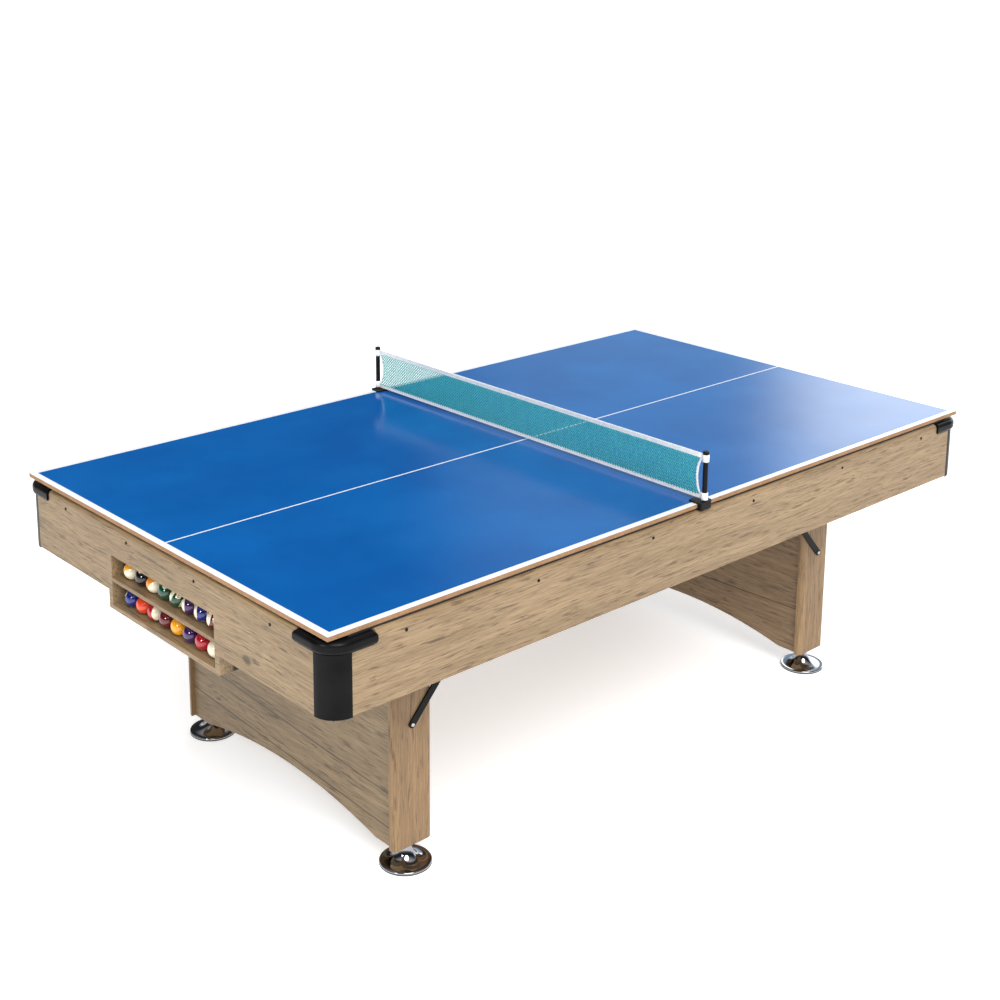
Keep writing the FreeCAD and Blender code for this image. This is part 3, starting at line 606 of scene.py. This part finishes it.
def digit_mesh(text):
    """Flat outline of a number, cut finely enough to lie on a ball."""
    curve = bpy.data.curves.new("digits", "FONT")
    curve.body = text
    curve.size = DIGIT_HIGH * 1.4
    curve.align_x = "CENTER"
    curve.align_y = "CENTER"
    holder = bpy.data.objects.new("digits", curve)
    bpy.context.scene.collection.objects.link(holder)
    bpy.context.view_layer.update()
    mesh = bpy.data.meshes.new_from_object(holder.evaluated_get(bpy.context.evaluated_depsgraph_get()))
    bpy.data.objects.remove(holder)
    bpy.data.curves.remove(curve)
    return mesh


def ball(bm):
    bmesh.ops.create_icosphere(bm, subdivisions=5, radius=BALL_R)


def number_on_ball(bm, number):
    """The number twice, on opposite spots."""
    flat = digit_mesh(str(number))
    for side in (-1, 1):
        piece = bmesh.new()
        piece.from_mesh(flat)
        bmesh.ops.triangulate(piece, faces=piece.faces)
        bmesh.ops.subdivide_edges(piece, edges=piece.edges, cuts=2, use_grid_fill=True)
        for v in piece.verts:
            way = Vector((side, side * v.co.x / BALL_R, v.co.y / BALL_R)).normalized()
            v.co = way * (BALL_R + DIGIT_PROUD)
        made = bpy.data.meshes.new("turned")
        piece.to_mesh(made)
        piece.free()
        bm.from_mesh(made)
        bpy.data.meshes.remove(made)
    bpy.data.meshes.remove(flat)


def make_balls():
    ink = grained("ball_ink", (0.008, 0.008, 0.008), 0.15, 0.25, 900.0, 0.02, 0.0001)
    for node, row in (("balls_upper", UPPER_ROW), ("balls_lower", LOWER_ROW)):
        body = "upper_balls" if node == "balls_upper" else "lower_balls"
        low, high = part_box(node)
        middle = (low + high) / 2
        step = (high.y - low.y - 2 * BALL_R) / (BALLS_IN_ROW - 1)
        for i, number in enumerate(row):
            at = Vector((middle.x, high.y - BALL_R - i * step, middle.z))
            heading, tilt, roll = (math.radians(a) for a in TURNS[number])
            turn = (Matrix.Rotation(heading, 4, "Z") @ Matrix.Rotation(-tilt, 4, "Y")
                    @ Matrix.Rotation(roll, 4, "X"))
            piece = new_piece("pool_ball_%02d" % number, ball, ball_finish(number), None)
            piece.matrix_world = Matrix.Translation(at) @ turn
            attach(piece, body)
            if number:
                digits = new_piece("pool_ball_%02d_number" % number,
                                   lambda bm, n=number: number_on_ball(bm, n), ink, None)
                digits.matrix_world = piece.matrix_world.copy()
                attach(digits, body)
            if i == 0:
                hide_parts(node)


# --- net ----------------------------------------------------------------------------
def net_cord_finish():
    f = Finish("net_cord", IOR=1.45)
    twist = f.calc("SINE", f.calc("MULTIPLY", f.calc("ADD", f.y, f.z), 2 * math.pi / CORD_TWIST))
    cloud = f.noise(f.place, 400.0, 2.0)
    f.color(f.mix(f.between(cloud, 0.35, 0.65), srgb(30, 154, 152), srgb(76, 190, 190)))
    f.rough(f.between(cloud, 0.3, 0.7, 0.6, 0.8))
    f.bump(twist, 0.4, 0.0003)
    return f


def tape_finish():
    """White woven tape."""
    f = Finish("net_tape", IOR=1.45)
    f.shader.inputs["Sheen Weight"].default_value = 0.15
    warp = f.calc("SINE", f.calc("MULTIPLY", f.y, 2 * math.pi / TAPE_WEAVE))
    weft = f.calc("SINE", f.calc("MULTIPLY", f.z, 2 * math.pi / TAPE_WEAVE))
    weave = f.calc("MULTIPLY", warp, weft)
    cloud = f.noise(f.place, 60.0, 3.0)
    f.color(f.mix(f.between(cloud, 0.35, 0.65), srgb(250, 250, 248), srgb(236, 238, 238)))
    f.rough(f.between(cloud, 0.3, 0.7, 0.72, 0.86))
    f.bump(weave, 0.3, 0.0003)
    return f


def side_line(z, low, high):
    """How far from the middle the side tape is at a height."""
    share = (z - low) / (high - low)
    return NET_END - (NET_END - NET_BOW) * math.sin(math.pi * min(max(share, 0.0), 1.0)) ** 0.6


def strands(bm, lean, low, high, across_offset):
    """Every strand of one direction, from tape to tape, with a swelling at each knot."""
    step = STRAND_PITCH * math.sqrt(2)
    reach = NET_END
    tall = high - low
    count = int((2 * reach + tall) / step)
    for i in range(count + 1):
        foot = -reach - (tall if lean > 0 else 0.0) + i * step
        points = []
        radii = []
        pieces = int(tall / (step / 4)) + 1
        for k in range(pieces + 1):
            z = low + tall * k / pieces
            y = foot + lean * (z - low)
            if abs(y) > side_line(z, low, high):
                continue
            phase = (z - low) / (step / 2) * math.pi
            swell = 1.0 + KNOT_SWELL * max(0.0, math.cos(phase)) ** 2
            weave = across_offset * math.cos(phase)
            points.append(Vector((weave, y, z)))
            radii.append(STRAND_D / 2 * swell)
        if len(points) > 2:
            tube(bm, points, radii, Vector((1, 0, 0)), 6)


def tape_band(bm, z0, z1, half_len, thick, cord_up):
    """Tape folded round a cord, which rounds one of its edges."""
    side = []
    count = 7
    for k in range(count):
        share = k / (count - 1)
        from_cord = 1 - share if cord_up else share
        width = thick * (0.34 + 0.66 * math.exp(-(from_cord / 0.28) ** 2))
        side.append((width / 2, z0 + (z1 - z0) * share))
    outline = side + [(-x, z) for x, z in reversed(side)]
    rings = []
    random.seed(5)
    for i in range(TAPE_STEPS + 1):
        y = -half_len + 2 * half_len * i / TAPE_STEPS
        ripple = random.uniform(-TAPE_RIPPLE, TAPE_RIPPLE)
        rings.append([bm.verts.new((x + ripple, y, z)) for x, z in outline])
    loft(bm, rings)


def round_ring(bm, y, radius, z):
    """Level ring of vertices round a post at y."""
    ring = []
    for k in range(LOOP_SIDES):
        angle = 2 * math.pi * k / LOOP_SIDES
        ring.append(bm.verts.new((radius * math.cos(angle), y + radius * math.sin(angle), z)))
    return ring


def sleeve(bm, y, z0, z1):
    """Loop of tape round a post."""
    rings = []
    for share, grow in LOOP_PROFILE:
        rings.append(round_ring(bm, y, LOOP_R + grow, z0 + (z1 - z0) * share))
    for z in (z1 - 0.0002, z0 + 0.0002):
        rings.append(round_ring(bm, y, POST_R + LOOP_PLAY, z))
    loft(bm, rings, closed_ends=False)
    for k in range(LOOP_SIDES):
        m = (k + 1) % LOOP_SIDES
        bm.faces.new((rings[-1][k], rings[-1][m], rings[0][m], rings[0][k]))


def side_tape(bm, s, low, high):
    """Folded tape down one end of the net, bowed towards the middle."""
    rings = []
    steps = 30
    for i in range(steps + 1):
        z = low - 0.001 + (high - low + 0.002) * i / steps
        y = s * side_line(z, low, high)
        fold = [(math.cos(a), math.sin(a)) for a in (2 * math.pi * (k + 0.5) / 12 for k in range(12))]
        rings.append([bm.verts.new((SIDE_TAPE_THICK / 2 * max(-0.8, min(0.8, c)) / 0.8,
                                    y + SIDE_TAPE_HALF * t, z)) for c, t in fold])
    loft(bm, rings)


def make_net():
    low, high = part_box("net_mesh")
    tapes_low, tapes_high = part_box("net_tapes")
    post_y = (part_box("net_post_far")[0].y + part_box("net_post_far")[1].y) / 2
    cord = net_cord_finish()
    tape = tape_finish()
    z_low = low.z
    z_high = high.z

    def mesh(bm):
        strands(bm, 1, z_low, z_high, STRAND_D * 0.28)
        strands(bm, -1, z_low, z_high, -STRAND_D * 0.28)
    net = new_piece("net_strands", mesh, cord, "tennis_top")
    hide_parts("net_mesh")
    top_band = new_piece("net_top_tape", lambda bm: tape_band(
        bm, z_high - TAPE_LAP, tapes_high.z, post_y - POST_R, TOP_TAPE_THICK, True),
        tape, "tennis_top")
    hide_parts("net_tapes")
    low_band = new_piece("net_bottom_tape", lambda bm: tape_band(
        bm, tapes_low.z, z_low + TAPE_LAP, post_y - POST_R, LOW_TAPE_THICK, False),
        tape, "tennis_top")
    for side, s in SIDES.items():
        new_piece("net_loop_top_" + side, lambda bm, s=s: sleeve(
            bm, s * post_y, tapes_high.z - LOOP_HIGH, tapes_high.z), tape, "tennis_top")
        new_piece("net_loop_bottom_" + side, lambda bm, s=s: sleeve(
            bm, s * post_y, tapes_low.z, tapes_low.z + LOOP_HIGH), tape, "tennis_top")
        new_piece("net_side_tape_" + side, lambda bm, s=s: side_tape(
            bm, s, z_low, z_high), tape, "tennis_top")


# --- stage --------------------------------------------------------------------------
def make_camera():
    camera = bpy.data.objects.new("camera", bpy.data.cameras.new("camera"))
    camera.data.lens = CAMERA_LENS
    camera.data.sensor_width = 36.0
    camera.data.shift_x, camera.data.shift_y = CAMERA_SHIFT
    camera.data.clip_end = CAMERA_REACH
    camera.matrix_world = (Matrix.Translation(CAMERA_AT)
                           @ Matrix.Rotation(math.radians(-CAMERA_HEADING), 4, "Z")
                           @ Matrix.Rotation(math.radians(90 + CAMERA_TILT), 4, "X")
                           @ Matrix.Rotation(math.radians(CAMERA_ROLL), 4, "Z"))
    bpy.context.scene.collection.objects.link(camera)
    bpy.context.scene.camera = camera


def make_floor():
    f = Finish("floor", IOR=1.3)
    tone = f.noise(f.place, 0.7, 3.0)
    f.color(f.mix(f.between(tone, 0.3, 0.7), (0.76, 0.76, 0.76), (0.80, 0.80, 0.80)))
    f.shader.inputs["Emission Color"].default_value = (1, 1, 1, 1)
    f.shader.inputs["Emission Strength"].default_value = FLOOR_GLOW
    f.rough(0.9)
    half = FLOOR_SIZE / 2

    def sheet(bm):
        corners = [(-half, -half), (half, -half), (half, half), (-half, half)]
        bm.faces.new([bm.verts.new((x, y, -FLOOR_DROP)) for x, y in corners])
    floor = new_piece("floor", sheet, f, None, smooth=False)


def make_world():
    """Dim room: pale at the horizon, dark half way up, pale overhead, and one bright window."""
    world = bpy.data.worlds.new("room")
    bpy.context.scene.world = world
    world.use_nodes = True
    tree = world.node_tree
    back = tree.nodes["Background"]
    coords = tree.nodes.new("ShaderNodeTexCoord")
    split = tree.nodes.new("ShaderNodeSeparateXYZ")
    tree.links.new(coords.outputs["Generated"], split.inputs[0])
    ramp = tree.nodes.new("ShaderNodeValToRGB")
    tree.links.new(split.outputs[2], ramp.inputs[0])
    stops = [(0.0, 0.50), (0.10, 0.40), (0.22, 0.03), (0.50, 0.05), (0.75, 0.55), (1.0, 1.0)]
    ramp.color_ramp.elements[0].position, level = stops[0][0], stops[0][1]
    ramp.color_ramp.elements[0].color = (level, level, level, 1)
    ramp.color_ramp.elements[1].position, level = stops[-1][0], stops[-1][1]
    ramp.color_ramp.elements[1].color = (level, level, level, 1)
    for position, level in stops[1:-1]:
        stop = ramp.color_ramp.elements.new(position)
        stop.color = (level, level, level, 1)
    azimuth = math.radians(WINDOW_AZIMUTH)
    high = math.radians(WINDOW_HIGH)
    window = (math.cos(azimuth) * math.cos(high), math.sin(azimuth) * math.cos(high), math.sin(high))
    dot = tree.nodes.new("ShaderNodeVectorMath")
    dot.operation = "DOT_PRODUCT"
    tree.links.new(coords.outputs["Generated"], dot.inputs[0])
    dot.inputs[1].default_value = window
    total = ramp.outputs[0]
    for near, inside, level in ((0.82, 0.86, CURTAIN_GLOW), (0.922, 0.950, WINDOW_GLOW)):
        glow = tree.nodes.new("ShaderNodeMapRange")
        glow.interpolation_type = "SMOOTHSTEP"
        tree.links.new(dot.outputs["Value"], glow.inputs[0])
        for socket, number in zip(list(glow.inputs)[1:5], (near, inside, 0.0, 1.0)):
            socket.default_value = number
        tint = tree.nodes.new("ShaderNodeVectorMath")
        tint.operation = "SCALE"
        tint.inputs[0].default_value = level
        tree.links.new(glow.outputs[0], tint.inputs["Scale"])
        add = tree.nodes.new("ShaderNodeMix")
        add.data_type = "RGBA"
        add.blend_type = "ADD"
        add.inputs["Factor"].default_value = 1.0
        tree.links.new(total, add.inputs[6])
        tree.links.new(tint.outputs[0], add.inputs[7])
        total = add.outputs[2]
    tree.links.new(total, back.inputs[0])
    back.inputs[1].default_value = 1.0


def make_lights():
    """A soft sun, and a lamp that reaches into the ball return."""
    sun = bpy.data.objects.new("sun", bpy.data.lights.new("sun", "SUN"))
    sun.data.energy = SUN_STRENGTH
    sun.data.angle = math.radians(SUN_SOFTNESS)
    sun.rotation_euler = Vector(SUN_FROM).to_track_quat("Z", "Y").to_euler()
    bpy.context.scene.collection.objects.link(sun)
    lamp = bpy.data.objects.new("end_lamp", bpy.data.lights.new("end_lamp", "AREA"))
    lamp.data.shape = "DISK"
    lamp.data.size = LAMP_SIZE
    lamp.data.energy = LAMP_WATTS
    lamp.location = LAMP_AT
    lamp.rotation_euler = (Vector(LAMP_AIM) - Vector(LAMP_AT)).to_track_quat("-Z", "Y").to_euler()
    bpy.context.scene.collection.objects.link(lamp)
    bpy.context.scene.view_settings.view_transform = "Standard"


make_camera()
finish_oak()
finish_raw_wood()
finish_bed_board()
finish_tennis_boards()
finish_plastics()
finish_metals()
finish_chrome()
cloth = billiard_cloth()
make_cushions(cloth)
make_bed_cloth(cloth)
make_balls()
make_net()
make_floor()
make_world()
make_lights()
